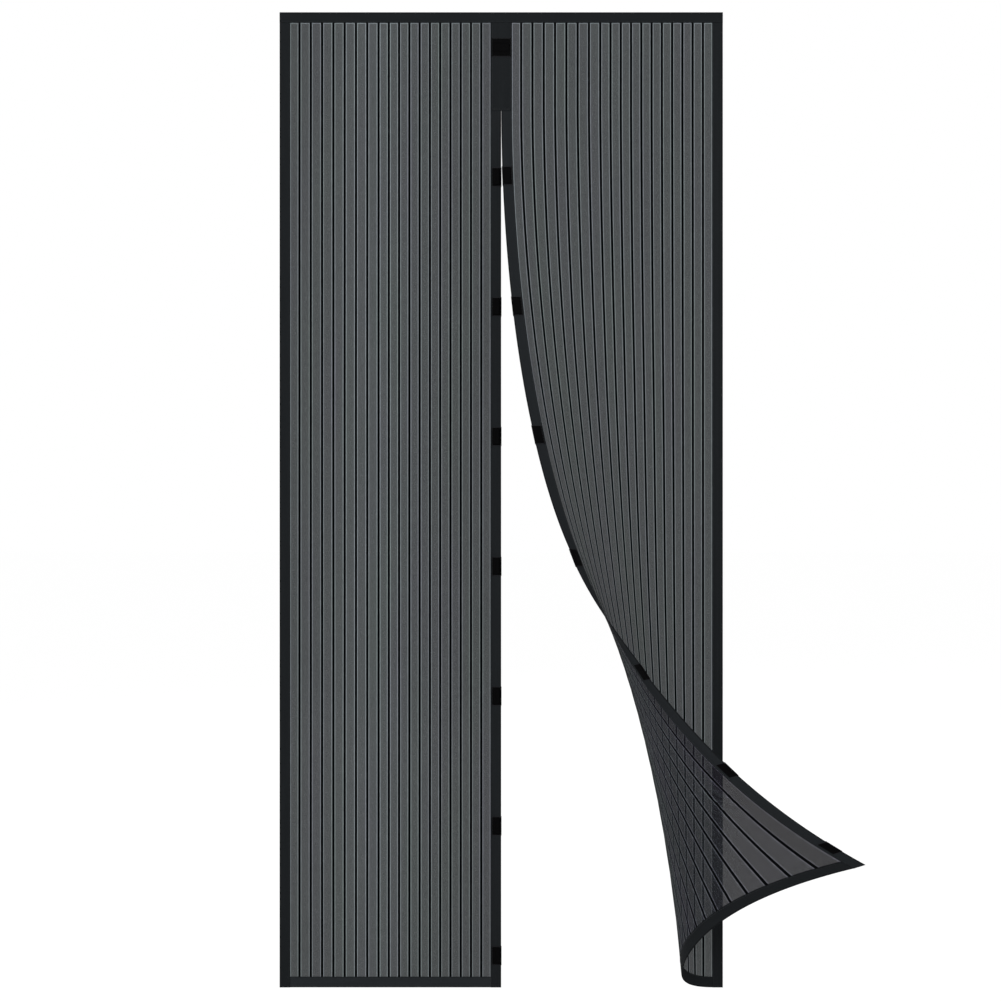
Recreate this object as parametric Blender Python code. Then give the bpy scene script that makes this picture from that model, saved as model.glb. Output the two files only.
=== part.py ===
"""Magnetic insect screen: two bound mesh curtains that hang in a doorway and meet on magnets.

Metres, +Z up, +X to the right as seen from the room. The front faces -Y and the door frame is behind, at +Y.
The origin is the middle of the top hook strip's back face, where the screen is pressed on to the frame.

Every piece is cut and folded flat first, in its panel's own measures: u runs in from the outer side edge,
v runs down from the top edge, and n is the height above the cloth's middle, towards the back. The left
panel then hangs straight down. The right panel's loose corner is drawn forward and over to the right.
"""

import math

import bmesh
import bpy
import numpy as np
from mathutils import Vector

for thing in list(bpy.data.objects):
    bpy.data.objects.remove(thing, do_unlink=True)

# The screen as a whole
SCREEN_WIDTH = 1.000
SCREEN_DROP = 2.200
MEETING_GAP = 0.0003
SEAM_DROP = 0.223
SEWN_GAP = 0.0003

# Knitted mesh: plain strips between dense ribs
MESH_THICK = 0.0005
STRIPS = 19
WIDE_STRIPS = 7
WIDE_STRIP_SHARE = 1.10
EDGE_STRIP_SHARE = 0.90
RIB_WIDTH = 0.0045
RIB_HEIGHT = 0.0004
RIB_FADE = 0.006

# Edge tape, folded lengthwise over the cloth
TAPE_WIDTH = 0.024
TAPE_THICK = 0.0005
JOIN_THICK = 0.0006
JOIN_WIDTH = 0.047

# Magnets and the pouches that hold them
POUCHES = 7
FIRST_POUCH_DROP = 0.372
LAST_POUCH_RISE = 0.0718
POUCH_LENGTH = 0.043
POUCH_WIDTH = 0.0214
POUCH_THICK = 0.0006
POUCH_RAMP = 0.0025
POUCH_BACK_LEG = 0.0175
MAGNET_LENGTH = 0.036
MAGNET_WIDTH = 0.012
MAGNET_THICK = 0.002
MAGNET_EDGE = 0.0003
TOP_POUCH_DROP = 0.080
TOP_POUCH_WIDTH = 0.045
TOP_POUCH_LENGTH = 0.043
TOP_MAGNET_WIDTH = 0.036

# Hook tape on the back
HOOK_WIDTH = 0.016
HOOK_THICK = 0.0012
HOOK_EDGE = 0.0003
HOOK_END_MARGIN = 0.004
HOOK_FOOT_MARGIN = 0.060

# How the right panel's loose corner is drawn open
TURN_LIMIT = math.radians(155.0)
TURN_UPPER = 0.869
TURN_LOWER = 0.779
TURN_GROWTH = 3.439
TURN_SPREAD = 0.831
LIFT = 0.376
LIFT_GROWTH = 2.863
LIFT_SPREAD = 1.865
LIFT_SWELL = 0.630
SAG = 0.167
SAG_START = 1.205
SAG_END = 1.307
SAG_SPREAD = 1.018
GIVE = 1.973
GIVE_GROWTH = 4.533
GIVE_SPREAD = 2.197
TAPE_LIE = 0.3
LEAST_RUN = 0.4
HEM_EASE_GROWTH = 6

# Faceting
LONGEST_FACET = 0.130
LARGEST_TWIST = math.radians(15)
ROW_STEPS = 80
PROBE = 0.001

PANEL_WIDTH = (SCREEN_WIDTH - MEETING_GAP) / 2
FREE_WIDTH = PANEL_WIDTH - 2 * TAPE_WIDTH
TAPE_INSIDE = MESH_THICK / 2 + SEWN_GAP
TAPE_OUTSIDE = TAPE_INSIDE + TAPE_THICK
CLOTH_INSET = TAPE_THICK + SEWN_GAP
POUCH_INSIDE = TAPE_OUTSIDE + SEWN_GAP
POUCH_BUMP = MAGNET_THICK + SEWN_GAP
CLOTH_Y = -(TAPE_OUTSIDE + SEWN_GAP + HOOK_THICK)
TOP_Z = TAPE_WIDTH / 2

screen = bpy.data.collections.new("magnetic_insect_screen")
bpy.context.scene.collection.children.link(screen)


def finish(name, colour, roughness, metallic=0.0):
    """A Principled material in one plain colour."""
    material = bpy.data.materials.new(name)
    material.use_nodes = True
    shader = material.node_tree.nodes["Principled BSDF"]
    shader.inputs["Base Color"].default_value = (*colour, 1.0)
    shader.inputs["Roughness"].default_value = roughness
    shader.inputs["Metallic"].default_value = metallic
    return material


mesh_finish = finish("knitted_mesh", (0.065, 0.067, 0.072), 0.85)
tape_finish = finish("edge_tape", (0.014, 0.017, 0.019), 0.75)
pouch_finish = finish("pouch_cloth", (0.004, 0.004, 0.004), 0.6)
magnet_finish = finish("magnet", (0.35, 0.35, 0.37), 0.35, 0.9)
hook_finish = finish("hook_tape", (0.010, 0.010, 0.011), 0.9)


def hang_left(u, v, n):
    """A point of the left panel, which hangs flat."""
    return Vector((u - SCREEN_WIDTH / 2, CLOTH_Y + n, TOP_Z - v))


def pouch_drop(number):
    """Even steps from the first pouch to the last, which keeps its own height above the hem's edge."""
    last_drop = SCREEN_DROP - LAST_POUCH_RISE
    return FIRST_POUCH_DROP + (last_drop - FIRST_POUCH_DROP) * number / (POUCHES - 1)


def share_down(v):
    """How far down the slit a drop lies, from 0 at the seam to 1 at the hem."""
    return max(0.0, (v - SEAM_DROP) / (SCREEN_DROP - SEAM_DROP))


def tightness(down):
    return TURN_UPPER * down + TURN_LOWER * down**TURN_GROWTH


def held_drop(v):
    """The drop whose direction the meeting tape takes: the same all along a magnet, which cannot twist."""
    numbers = [number for number in range(POUCHES) for _ in range(2)]
    ends = [pouch_drop(number) + (place % 2 - 0.5) * POUCH_LENGTH for place, number in enumerate(numbers)]
    centres = [pouch_drop(number) for number in numbers]
    return float(np.interp(v, [SEAM_DROP, *ends, SCREEN_DROP], [SEAM_DROP, *centres, SCREEN_DROP]))


def tape_turn(v):
    """How far the meeting tape has turned, which its stiff magnets keep flatter to the door than the cloth."""
    cloth_turn = TURN_LIMIT * math.tanh(tightness(share_down(held_drop(v))))
    return math.atan2(TAPE_LIE * math.sin(cloth_turn), math.cos(cloth_turn))


def fold_line(u, v):
    """The middle of the right panel's cloth: each row turns forward and climbs between its stiff tapes."""
    down = share_down(v)
    reach = min(max(u - TAPE_WIDTH, 0.0), FREE_WIDTH)
    ends = np.linspace(0.0, reach / FREE_WIDTH, ROW_STEPS + 1)
    middles = (ends[1:] + ends[:-1]) / 2
    turn = TURN_LIMIT * np.tanh(tightness(down) * middles**TURN_SPREAD)
    give = 1 + GIVE * down**GIVE_GROWTH * middles**GIVE_SPREAD
    length = give * reach / ROW_STEPS
    run = np.sqrt(np.maximum(length**2 - np.diff(lift_of(ends, down)) ** 2, (LEAST_RUN * length) ** 2))
    x = SCREEN_WIDTH / 2 - min(u, TAPE_WIDTH) - float((run * np.cos(turn)).sum())
    y = CLOTH_Y - float((run * np.sin(turn)).sum())
    place = Vector((x, y, TOP_Z - v + float(lift_of(ends[-1], down))))
    beyond = u - TAPE_WIDTH - FREE_WIDTH
    if beyond > 0:
        held = share_down(held_drop(v))
        last_turn = tape_turn(v)
        last_length = FREE_WIDTH * (1 + GIVE * held**GIVE_GROWTH)
        climb = LIFT * held**LIFT_GROWTH * (LIFT_SPREAD - LIFT_SWELL) - sag_of(held) * SAG_SPREAD
        slope = climb / last_length
        level = math.sqrt(1 - slope**2)
        place += beyond * Vector((-level * math.cos(last_turn), -level * math.sin(last_turn), slope))
    return place


def sag_of(down):
    """How far the meeting edge hangs down by its own weight, between the seam and the held corner."""
    return SAG * down**SAG_START * max(0.0, 1 - down) ** SAG_END


def lift_of(across, down):
    """How far a row has climbed at a share of the way across, for a share of the way down the slit."""
    climbed = LIFT * down**LIFT_GROWTH * across**LIFT_SPREAD * (1 + LIFT_SWELL * (1 - across))
    return climbed - sag_of(down) * across**SAG_SPREAD


def slopes(u, v, surface):
    """The surface's directions across and down at a point."""
    across = (surface(u + PROBE, v) - surface(max(u - PROBE, 0), v)) / (PROBE + min(u, PROBE))
    down = (surface(u, v + PROBE) - surface(u, v - PROBE)) / (2 * PROBE)
    return across, down


def hem_ease(u):
    """How much wider the hem zone is laid out there, so that the hem tape keeps its width where it slants."""
    across, down = slopes(u, SCREEN_DROP, fold_line)
    return across.length / across.cross(down).length


def eased(u, v):
    """The cloth's middle, with the hem zone eased open and the mesh above it taken up to match."""
    hem_starts = SCREEN_DROP - TAPE_WIDTH
    ease = hem_ease(u)
    if v >= hem_starts:
        return fold_line(u, SCREEN_DROP - (SCREEN_DROP - v) * ease)
    return fold_line(u, v - (ease - 1) * TAPE_WIDTH * (v / hem_starts) ** HEM_EASE_GROWTH)


def hang_right(u, v, n):
    """A point of the right panel, which is drawn open below the seam."""
    if v <= SEAM_DROP - PROBE:
        return Vector((SCREEN_WIDTH / 2 - u, CLOTH_Y + n, TOP_Z - v))
    across, down = slopes(u, v, eased)
    return eased(u, v) - across.cross(down).normalized() * n


def straight_between(hang, start, end):
    """The same placing, but straight from one drop to the other, as the tape is along a magnet."""

    def placed(u, v, n):
        return hang(u, start, n).lerp(hang(u, end, n), (v - start) / (end - start))

    return placed


def keep(name, form, material):
    """Links a finished bmesh as one named object, smooth where its faces meet gently."""
    bmesh.ops.recalc_face_normals(form, faces=form.faces)
    if form.calc_volume(signed=True) < 0:
        bmesh.ops.reverse_faces(form, faces=form.faces)
    mesh = bpy.data.meshes.new(name)
    form.to_mesh(mesh)
    form.free()
    mesh.materials.append(material)
    mesh.shade_smooth()
    mesh.set_sharp_from_angle(angle=math.radians(30))
    piece = bpy.data.objects.new(name, mesh)
    screen.objects.link(piece)
    return piece


def cloth(name, material, columns, rows, layers):
    """A closed sheet: a grid and its extruded second layer, each placed by a rule of column and row."""
    form = bmesh.new()
    bmesh.ops.create_grid(form, x_segments=columns - 1, y_segments=rows - 1, size=1.0)
    first = set(form.verts)
    bmesh.ops.extrude_face_region(form, geom=form.faces[:])
    for corner in form.verts:
        column = round((corner.co.x + 1) / 2 * (columns - 1))
        row = round((corner.co.y + 1) / 2 * (rows - 1))
        corner.co = layers[0 if corner in first else 1](column, row)
    return keep(name, form, material)


def block(name, material, low, high, edge, hang):
    """A bar with broken edges, between two corners given as (u, v, n)."""
    form = bmesh.new()
    bmesh.ops.create_cube(form, size=1.0)
    for corner in form.verts:
        corner.co = Vector(b if c > 0 else a for a, b, c in zip(low, high, corner.co))
    bmesh.ops.bevel(form, geom=form.edges[:], offset=edge, segments=1, affect="EDGES")
    for corner in form.verts:
        corner.co = hang(*corner.co)
    return keep(name, form, material)


def rib_columns(shares):
    """(u, height) from outer to meeting edge: the tapes' edges and each rib's feet and crest."""
    columns = [(CLOTH_INSET, 0.0), (TAPE_WIDTH, 0.0)]
    u = TAPE_WIDTH
    for share in shares[:-1]:
        u += FREE_WIDTH * share / sum(shares)
        columns += [(u - RIB_WIDTH / 2, 0.0), (u, RIB_HEIGHT), (u + RIB_WIDTH / 2, 0.0)]
    return columns + [(PANEL_WIDTH - TAPE_WIDTH, 0.0), (PANEL_WIDTH - CLOTH_INSET, 0.0)]


def drop_stations():
    """(v, rib share) down a panel: the tapes' edges, each pouch's ends and even steps between them."""
    marks = [TAPE_WIDTH + RIB_FADE, SEAM_DROP]
    for number in range(POUCHES):
        marks += [pouch_drop(number) - POUCH_LENGTH / 2, pouch_drop(number) + POUCH_LENGTH / 2]
    marks = sorted(marks) + [SCREEN_DROP - TAPE_WIDTH - RIB_FADE]
    stations = [(CLOTH_INSET, 0.0), (TAPE_WIDTH, 0.0)]
    for start, end in zip(marks, marks[1:]):
        twist = tape_turn(end) - tape_turn(start)
        parts = max(math.ceil((end - start) / LONGEST_FACET), math.ceil(twist / LARGEST_TWIST))
        parts = 1 if end <= SEAM_DROP else parts
        stations += [(start + (end - start) * part / parts, 1.0) for part in range(parts)]
    stations.append((marks[-1], 1.0))
    return stations + [(SCREEN_DROP - TAPE_WIDTH, 0.0), (SCREEN_DROP - CLOTH_INSET, 0.0)]


def mesh_panel(name, columns, stations, hang):
    """The knitted panel: one wall with ribs standing out of both faces, flat where the tape grips it."""

    def face(side):
        def corner(column, row):
            (u, height), (v, share) = columns[column], stations[row]
            return hang(u, v, side * (MESH_THICK / 2 + height * share))

        return corner

    return cloth(name, mesh_finish, len(columns), len(stations), (face(1), face(-1)))


def folded_tape(name, along, place):
    """Edge tape folded in a U. place(reach, station, n) puts a point reach out from its free edges."""
    corner = TAPE_OUTSIDE / 2
    fold = TAPE_WIDTH - TAPE_THICK
    outside = [
        (0, -TAPE_OUTSIDE), (TAPE_WIDTH - corner, -TAPE_OUTSIDE), (TAPE_WIDTH, -corner),
        (TAPE_WIDTH, corner), (TAPE_WIDTH - corner, TAPE_OUTSIDE), (0, TAPE_OUTSIDE),
    ]
    inside = [
        (0, -TAPE_INSIDE), (fold - corner, -TAPE_INSIDE), (fold, -TAPE_INSIDE / 2),
        (fold, TAPE_INSIDE / 2), (fold - corner, TAPE_INSIDE), (0, TAPE_INSIDE),
    ]

    def layer(section):
        return lambda column, row: place(section[column][0], along[row], section[column][1])

    return cloth(name, tape_finish, len(outside), len(along), (layer(outside), layer(inside)))


def magnet_pouch(name, centre, hang):
    """A pocket on the tape's front that wraps its edge and ends in a flat leg on the back."""
    start = TAPE_WIDTH - POUCH_WIDTH
    brim = TAPE_WIDTH + SEWN_GAP
    inside = [
        (start, -POUCH_INSIDE, 0), (start + POUCH_RAMP, -POUCH_INSIDE, 1),
        (TAPE_WIDTH - POUCH_RAMP, -POUCH_INSIDE, 1), (brim, -POUCH_INSIDE, 0),
        (brim, POUCH_INSIDE, 0), (TAPE_WIDTH - POUCH_BACK_LEG, POUCH_INSIDE, 0),
    ]
    outer = POUCH_INSIDE + POUCH_THICK
    lip = brim + POUCH_THICK
    outside = [
        (start, -outer, 0), (start + POUCH_RAMP, -outer, 1),
        (TAPE_WIDTH - POUCH_RAMP, -outer, 1), (lip, -outer, 0),
        (lip, outer, 0), (TAPE_WIDTH - POUCH_BACK_LEG, outer, 0),
    ]
    rows = [
        (-POUCH_LENGTH / 2, 0), (POUCH_RAMP - POUCH_LENGTH / 2, 1),
        (POUCH_LENGTH / 2 - POUCH_RAMP, 1), (POUCH_LENGTH / 2, 0),
    ]

    def layer(section):
        def corner(column, row):
            reach, n, raised = section[column]
            offset, full = rows[row]
            return hang(PANEL_WIDTH - TAPE_WIDTH + reach, centre + offset, n - raised * full * POUCH_BUMP)

        return corner

    return cloth(name, pouch_finish, len(inside), len(rows), (layer(outside), layer(inside)))


def magnet_bar(name, centre, hang):
    """The bar lies on the tape's front, inside its pouch."""
    middle = PANEL_WIDTH - TAPE_WIDTH + (2 * TAPE_WIDTH - POUCH_WIDTH) / 2
    low = (middle - MAGNET_WIDTH / 2, centre - MAGNET_LENGTH / 2, -POUCH_INSIDE - MAGNET_THICK)
    high = (middle + MAGNET_WIDTH / 2, centre + MAGNET_LENGTH / 2, -POUCH_INSIDE)
    return block(name, magnet_finish, low, high, MAGNET_EDGE, hang)


# Mesh panels
plain_strips = STRIPS - WIDE_STRIPS - 2
left_strips = [EDGE_STRIP_SHARE, *[WIDE_STRIP_SHARE] * WIDE_STRIPS, *[1.0] * plain_strips, EDGE_STRIP_SHARE]
right_strips = left_strips[::-1]
stations = drop_stations()
flat_stations = [station for station in stations if station[1] == 0.0]
flat_stations[2:2] = [(TAPE_WIDTH + RIB_FADE, 1.0), (SCREEN_DROP - TAPE_WIDTH - RIB_FADE, 1.0)]
mesh_panel("left_mesh_panel", rib_columns(left_strips), flat_stations, hang_left)
mesh_panel("right_mesh_panel", rib_columns(right_strips), stations, hang_right)

# Edge tapes: the top one is one length across both panels, and the others start below it
tape_top = TAPE_WIDTH + SEWN_GAP
hanging = [tape_top] + [v for v, _ in stations if TAPE_WIDTH < v < SCREEN_DROP - CLOTH_INSET] + [SCREEN_DROP]
inner_start = PANEL_WIDTH - TAPE_WIDTH
hem_span = [TAPE_WIDTH + SEWN_GAP, inner_start - SEWN_GAP]
folded_tape("top_binding", [0.0, SCREEN_WIDTH], lambda reach, u, n: hang_left(u, TAPE_WIDTH - reach, n))
folded_tape(
    "left_side_binding", [tape_top, SCREEN_DROP], lambda reach, v, n: hang_left(TAPE_WIDTH - reach, v, n)
)
folded_tape(
    "right_side_binding",
    [tape_top, SCREEN_DROP],
    lambda reach, v, n: hang_left(SCREEN_WIDTH - TAPE_WIDTH + reach, v, n),
)
folded_tape(
    "left_centre_binding", [tape_top, SCREEN_DROP], lambda reach, v, n: hang_left(inner_start + reach, v, n)
)
folded_tape("right_centre_binding", hanging, lambda reach, v, n: hang_right(inner_start + reach, v, n))
folded_tape(
    "left_hem_binding", hem_span, lambda reach, u, n: hang_left(u, SCREEN_DROP - TAPE_WIDTH + reach, n)
)
right_hem_span = [hem_span[0]] + [u for u, _ in rib_columns(right_strips)[2:-2]] + [hem_span[1]]
folded_tape(
    "right_hem_binding",
    right_hem_span,
    lambda reach, u, n: hang_right(u, SCREEN_DROP - TAPE_WIDTH + reach, n),
)

# The join strip closes the slit's top, and a wide pouch with its own magnet is sewn on it
join_back = -(TAPE_OUTSIDE + SEWN_GAP)
join_front = join_back - JOIN_THICK
middle = SCREEN_WIDTH / 2
join_sides = [middle - JOIN_WIDTH / 2, middle + JOIN_WIDTH / 2]
join_ends = [tape_top, SEAM_DROP]
join_layers = [
    lambda column, row: hang_left(join_sides[column], join_ends[row], join_back),
    lambda column, row: hang_left(join_sides[column], join_ends[row], join_front),
]
cloth("centre_join_strip", tape_finish, 2, 2, join_layers)
pocket_floor = join_front - SEWN_GAP


def top_pouch_layer(lift):
    """One face of the wide pouch: a rim on the join strip and a raised middle over the magnet."""
    across = [-TOP_POUCH_WIDTH / 2, POUCH_RAMP - TOP_POUCH_WIDTH / 2]
    along = [-TOP_POUCH_LENGTH / 2, POUCH_RAMP - TOP_POUCH_LENGTH / 2]
    across += [-offset for offset in reversed(across)]
    along += [-offset for offset in reversed(along)]

    def corner(column, row):
        raised = column in (1, 2) and row in (1, 2)
        n = pocket_floor - lift - (POUCH_BUMP if raised else 0.0)
        return hang_left(middle + across[column], TOP_POUCH_DROP + along[row], n)

    return corner


cloth("top_pouch", pouch_finish, 4, 4, (top_pouch_layer(0.0), top_pouch_layer(POUCH_THICK)))
block(
    "top_magnet",
    magnet_finish,
    (middle - TOP_MAGNET_WIDTH / 2, TOP_POUCH_DROP - MAGNET_WIDTH / 2, pocket_floor - MAGNET_THICK),
    (middle + TOP_MAGNET_WIDTH / 2, TOP_POUCH_DROP + MAGNET_WIDTH / 2, pocket_floor),
    MAGNET_EDGE,
    hang_left,
)

# Pouches and magnets in pairs down the meeting edges
for number in range(POUCHES):
    centre = pouch_drop(number)
    for side, hang in (("left", hang_left), ("right", hang_right)):
        stiff_hang = straight_between(hang, centre - POUCH_LENGTH / 2, centre + POUCH_LENGTH / 2)
        magnet_pouch(f"{side}_pouch_{number + 1}", centre, stiff_hang)
        magnet_bar(f"{side}_magnet_{number + 1}", centre, stiff_hang)

# Hook tape on the back, along the top and down both sides
hook_front = TAPE_OUTSIDE + SEWN_GAP
hook_back = hook_front + HOOK_THICK
hook_start = (TAPE_WIDTH - HOOK_WIDTH) / 2
hook_end = hook_start + HOOK_WIDTH
block(
    "top_hook_strip",
    hook_finish,
    (HOOK_END_MARGIN, hook_start, hook_front),
    (SCREEN_WIDTH - HOOK_END_MARGIN, hook_end, hook_back),
    HOOK_EDGE,
    hang_left,
)
for side, start in (("left", hook_start), ("right", SCREEN_WIDTH - hook_end)):
    block(
        f"{side}_hook_strip",
        hook_finish,
        (start, TAPE_WIDTH + HOOK_END_MARGIN, hook_front),
        (start + HOOK_WIDTH, SCREEN_DROP - HOOK_FOOT_MARGIN, hook_back),
        HOOK_EDGE,
        hang_left,
    )
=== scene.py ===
import math

import bpy
import numpy as np
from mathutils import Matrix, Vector


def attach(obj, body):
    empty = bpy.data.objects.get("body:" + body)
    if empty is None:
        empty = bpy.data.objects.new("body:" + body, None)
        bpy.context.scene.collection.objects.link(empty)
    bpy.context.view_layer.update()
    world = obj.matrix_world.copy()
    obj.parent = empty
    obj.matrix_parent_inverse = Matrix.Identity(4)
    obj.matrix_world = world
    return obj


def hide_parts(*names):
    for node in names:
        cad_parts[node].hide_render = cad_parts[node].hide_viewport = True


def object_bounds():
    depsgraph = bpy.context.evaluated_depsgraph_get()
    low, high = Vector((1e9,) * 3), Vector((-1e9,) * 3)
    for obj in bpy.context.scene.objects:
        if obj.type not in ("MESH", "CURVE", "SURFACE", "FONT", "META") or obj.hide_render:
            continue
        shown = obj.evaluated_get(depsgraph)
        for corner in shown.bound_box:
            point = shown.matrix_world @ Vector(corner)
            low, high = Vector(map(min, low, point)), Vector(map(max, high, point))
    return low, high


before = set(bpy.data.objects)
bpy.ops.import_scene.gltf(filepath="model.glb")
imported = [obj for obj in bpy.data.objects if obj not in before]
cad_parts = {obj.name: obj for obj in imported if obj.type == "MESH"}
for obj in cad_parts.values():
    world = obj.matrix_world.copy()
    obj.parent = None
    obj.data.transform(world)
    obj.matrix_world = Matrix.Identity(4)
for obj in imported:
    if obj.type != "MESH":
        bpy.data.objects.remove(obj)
cad_low, cad_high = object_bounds()

# Left mesh panel. Warp-knitted polyester net, sheer between eighteen dense ribs that are knitted in and
# stand slightly proud of both faces. It is cut 500 mm by 2200 mm and hangs straight from the top tape.
SCREEN_WIDTH = 1.000
SCREEN_DROP = 2.200
MEETING_GAP = 0.0003
SEWN_GAP = 0.0003
TAPE_WIDTH = 0.024
TAPE_THICK = 0.0005
MESH_THICK = 0.0005
HOOK_THICK = 0.0012
STRIPS = 19
WIDE_STRIPS = 7
WIDE_STRIP_SHARE = 1.10
EDGE_STRIP_SHARE = 0.90
RIB_WIDTH = 0.0052
RIB_STAND = 0.0006
RIB_RIM_STAND = 0.0001
RIB_LEAST_STAND = 0.00005
RIB_END_FADE = 0.004
PAINTED_LINE_WIDTH = 0.0018
PANEL_WIDTH = (SCREEN_WIDTH - MEETING_GAP) / 2
FREE_WIDTH = PANEL_WIDTH - 2 * TAPE_WIDTH
TAPE_INSIDE = MESH_THICK / 2 + SEWN_GAP
TAPE_OUTSIDE = TAPE_INSIDE + TAPE_THICK
CLOTH_INSET = TAPE_THICK + SEWN_GAP
CLOTH_Y = -(TAPE_OUTSIDE + SEWN_GAP + HOOK_THICK)
TOP_Z = TAPE_WIDTH / 2
COLUMNS_IN_STRIP = (0.27, 0.50, 0.73)
UNDER_TAPE = -0.01
IN_TAPE_FOLD = -0.02
SHARP_TURN = math.radians(50)


def hang_left(u, v, n):
    """Points of flat-hung cloth: u in from the left side, v down from the top and n towards the back."""
    u, v, n = np.broadcast_arrays(*(np.asarray(value, float) for value in (u, v, n)))
    return np.stack([u - SCREEN_WIDTH / 2, CLOTH_Y + n, TOP_Z - v], axis=-1)


def strip_borders(shares):
    """The middles of the ribs across a panel, from its outer side edge."""
    return TAPE_WIDTH + FREE_WIDTH * np.cumsum(shares)[:-1] / np.sum(shares)


def cloth_columns(rib_middles):
    """(u, rim) across a panel. rim is how far inside a sheer strip a point lies, and below 0 outside one."""
    half = RIB_WIDTH / 2
    starts = [TAPE_WIDTH, *(rib_middles + half)]
    ends = [*(rib_middles - half), PANEL_WIDTH - TAPE_WIDTH]
    columns = [(CLOTH_INSET, IN_TAPE_FOLD), (TAPE_WIDTH / 2, UNDER_TAPE)]
    for start, end in zip(starts, ends):
        width = end - start
        between = [width * share for share in COLUMNS_IN_STRIP]
        for inset in (0.0, PAINTED_LINE_WIDTH, *between, width - PAINTED_LINE_WIDTH, width):
            columns.append((start + inset, min(inset, width - inset)))
        if end < ends[-1]:
            columns.append((end + half, -half))
    columns += [(PANEL_WIDTH - TAPE_WIDTH / 2, UNDER_TAPE), (PANEL_WIDTH - CLOTH_INSET, IN_TAPE_FOLD)]
    return np.array(columns)


def cloth_rows(step):
    """The drops of a panel's rows of points, a step apart between its top and hem tapes."""
    hem = SCREEN_DROP - TAPE_WIDTH
    inner = np.arange(TAPE_WIDTH, hem, step)
    return np.array([CLOTH_INSET, TAPE_WIDTH / 2, *inner, hem, SCREEN_DROP - CLOTH_INSET])


def link_mesh(name, points, faces, marks, tones, material):
    """One smooth mesh object. marks are each point's own measures on the cloth and tones its shade."""
    mesh = bpy.data.meshes.new(name)
    mesh.from_pydata(points.tolist(), [], faces)
    mesh.attributes.new("cloth", "FLOAT_VECTOR", "POINT").data.foreach_set("vector", np.ravel(marks))
    mesh.attributes.new("tone", "FLOAT", "POINT").data.foreach_set("value", np.ravel(tones))
    mesh.materials.append(material)
    mesh.shade_smooth()
    mesh.update()
    piece = bpy.data.objects.new(name, mesh)
    bpy.context.scene.collection.objects.link(piece)
    return piece


def grid_faces(rows, columns, start=0, flip=False):
    """Quads of a grid of points that lie row by row."""
    first = start + (np.arange(rows - 1)[:, None] * columns + np.arange(columns - 1)).ravel()
    quads = np.stack([first, first + 1, first + 1 + columns, first + columns], axis=1)
    return (quads[:, ::-1] if flip else quads).tolist()


def shells(name, parts, material, tone=1.0):
    """Closed strips of cloth in one piece, each from (outer, inner, marks), all rows x columns of points."""
    points, faces, marks = [], [], []
    start = 0
    for outer, inner, mark in parts:
        rows, columns = outer.shape[:2]
        count = rows * columns
        faces += grid_faces(rows, columns, start) + grid_faces(rows, columns, start + count, flip=True)
        rims = [(start + np.arange(rows) * columns + column, column > 0) for column in (0, columns - 1)]
        rims += [(start + row * columns + np.arange(columns), row == 0) for row in (0, rows - 1)]
        for rim, turned in rims:
            for a, b in zip(rim, rim[1:]):
                faces.append([a, b, b + count, a + count][:: -1 if turned else 1])
        points += [outer.reshape(-1, 3), inner.reshape(-1, 3)]
        marks += [mark.reshape(-1, 3), mark.reshape(-1, 3)]
        start += 2 * count
    points, marks = np.concatenate(points), np.concatenate(marks)
    piece = link_mesh(name, points, faces, marks, np.full(len(points), tone), material)
    piece.data.set_sharp_from_angle(angle=SHARP_TURN)
    return piece


def node(tree, kind, *sources, **settings):
    """A shader node's first output, with its inputs set or linked in their order."""
    made = tree.nodes.new("ShaderNode" + kind)
    for setting, value in settings.items():
        setattr(made, setting, value)
    for socket, source in zip(made.inputs, sources):
        if isinstance(source, bpy.types.NodeSocket):
            tree.links.new(source, socket)
        elif source is not None:
            socket.default_value = source
    return made.outputs[0]


def calc(tree, operation, *sources):
    """The result of one sum on numbers or sockets."""
    return node(tree, "Math", *sources, operation=operation)


def times(tree, *shades):
    """The product of several shades."""
    product = shades[0]
    for shade in shades[1:]:
        product = calc(tree, "MULTIPLY", product, shade)
    return product


def add_times(tree, value, factor, rest=1.0):
    """rest and factor times the value. A wave of -1 to 1 swings a shade round its rest in this way."""
    return calc(tree, "MULTIPLY_ADD", value, factor, rest)


def vary(tree, noise, spread, middle=1.0):
    """A noise of 0 to 1 as a shade that strays from its middle by up to half the spread."""
    return add_times(tree, noise, spread, middle - spread / 2)


def wave(tree, kind, way, length):
    """A sine or cosine along a way on the cloth, one turn in each length."""
    return calc(tree, kind, calc(tree, "MULTIPLY", way, 2 * math.pi / length))


def ramp(tree, value, low, high, least=0.0, most=1.0):
    """least where value is at low, most where it is at high, and a smooth step between them."""
    return node(tree, "MapRange", value, low, high, least, most, interpolation_type="SMOOTHSTEP")


def carried(tree, name, output):
    """What the points of the mesh carry under a name."""
    attribute = tree.nodes.new("ShaderNodeAttribute")
    attribute.attribute_name = name
    return attribute.outputs[output]


def bare(name, metal=0.0):
    """A new Principled material: (material, tree, shader)."""
    material = bpy.data.materials.new(name)
    material.use_nodes = True
    shader = material.node_tree.nodes["Principled BSDF"]
    shader.inputs["Metallic"].default_value = metal
    return material, material.node_tree, shader


def fibre(name, roughness, gloss):
    """A Principled material with the cloth's own measures: (material, tree, shader, place, (u, v, w))."""
    material, tree, shader = bare(name)
    shader.inputs["Roughness"].default_value = roughness
    shader.inputs["Specular IOR Level"].default_value = gloss
    place = carried(tree, "cloth", "Vector")
    parts = tree.nodes.new("ShaderNodeSeparateXYZ")
    tree.links.new(place, parts.inputs[0])
    return material, tree, shader, place, tuple(parts.outputs)


def grain(tree, place, scale, detail=2.0, stretch=(1.0, 1.0, 1.0)):
    """Even noise from 0 to 1, scale times a metre, drawn out along the cloth by stretch."""
    drawn = node(tree, "VectorMath", place, stretch, operation="MULTIPLY")
    return node(tree, "TexNoise", drawn, None, scale, detail)


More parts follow.
